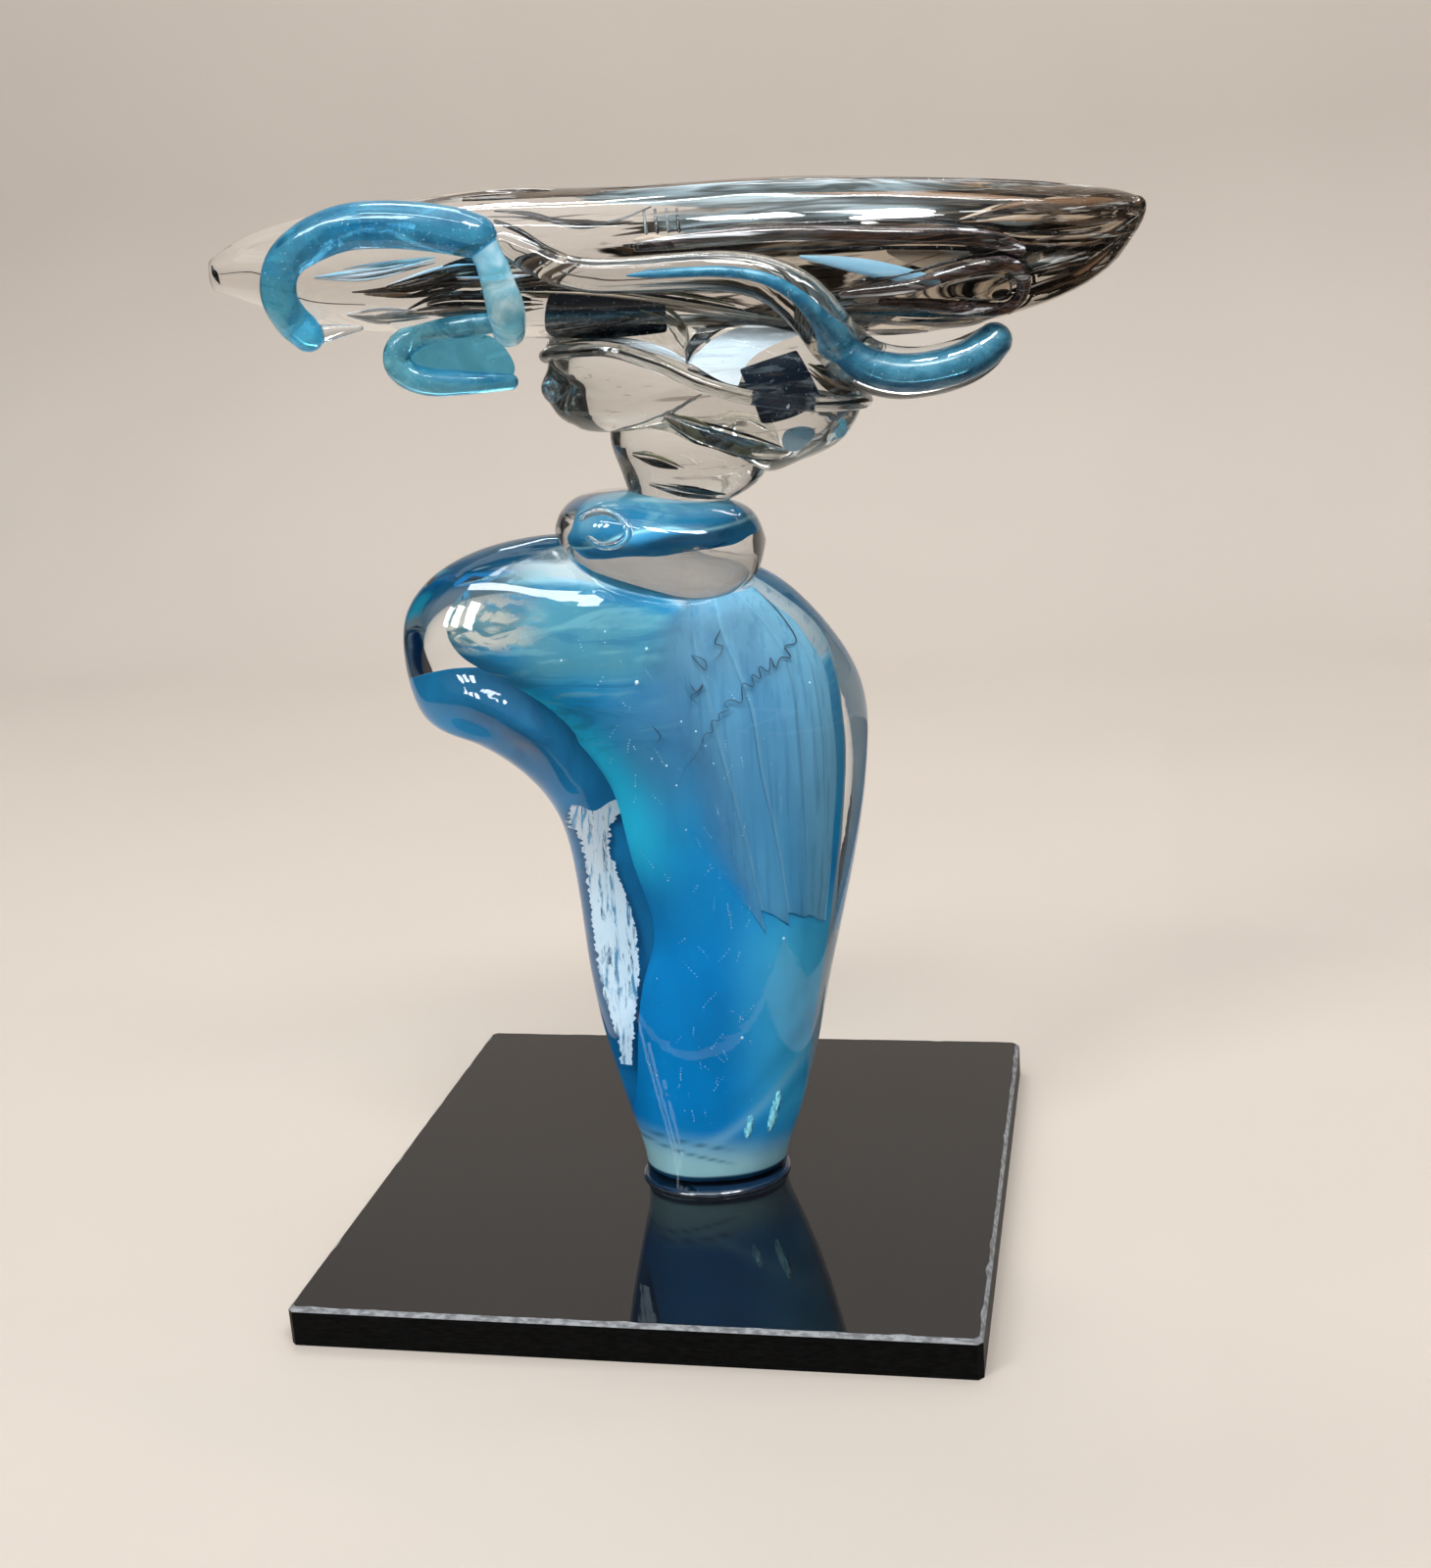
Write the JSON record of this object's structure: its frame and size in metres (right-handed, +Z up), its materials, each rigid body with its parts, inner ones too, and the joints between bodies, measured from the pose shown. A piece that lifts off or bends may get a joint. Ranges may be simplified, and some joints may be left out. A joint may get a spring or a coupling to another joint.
{
  "type": "glass kayak figurine",
  "caption": "Freestanding glass sculpture of a stylised figure with a blue cased torso carrying a kayak on its head, bonded to a square dark plate.",
  "frame": {"origin": "centre of the plate's underside", "axes": "+Z up, +X along the plate's front edge to the viewer's right, +Y to the back"},
  "size_m": [0.2646, 0.2, 0.3183],
  "materials": {
    "black_plate": "polished black glass",
    "clear_bond": "clear bond",
    "clear_glass": "fire-polished clear glass",
    "blue_glass": "fire-polished blue glass",
    "veil_glass": "thin pale veil inside glass",
    "smoky_glass": "streaky smoky glass",
    "strand_glass": "fire-polished blue glass"
  },
  "bodies": {
    "root": {"base_plate": "black_plate", "foot_bond": "clear_bond", "torso_casing": "clear_glass", "torso_core": "blue_glass", "torso_veil": "veil_glass", "torso_wing": "blue_glass", "torso_patch": "veil_glass", "collar_casing": "clear_glass", "collar_core": "blue_glass", "collar_swirl": "clear_glass", "neck": "clear_glass", "head": "clear_glass", "hair_cap": "clear_glass", "hair_band": "clear_glass", "hair_lock": "clear_glass", "kayak_hull": "clear_glass", "kayak_core": "smoky_glass", "hull_fold_upper": "smoky_glass", "hull_fold_hairpin": "smoky_glass", "bow_bead": "clear_glass", "stern_tip": "clear_glass", "strand_left": "strand_glass", "strand_left_tail": "strand_glass", "strand_left_drop": "strand_glass", "curl_left": "strand_glass", "curl_pin": "smoky_glass", "strand_right_casing": "clear_glass", "strand_right_core": "strand_glass"}
  },
  "joints": []
}
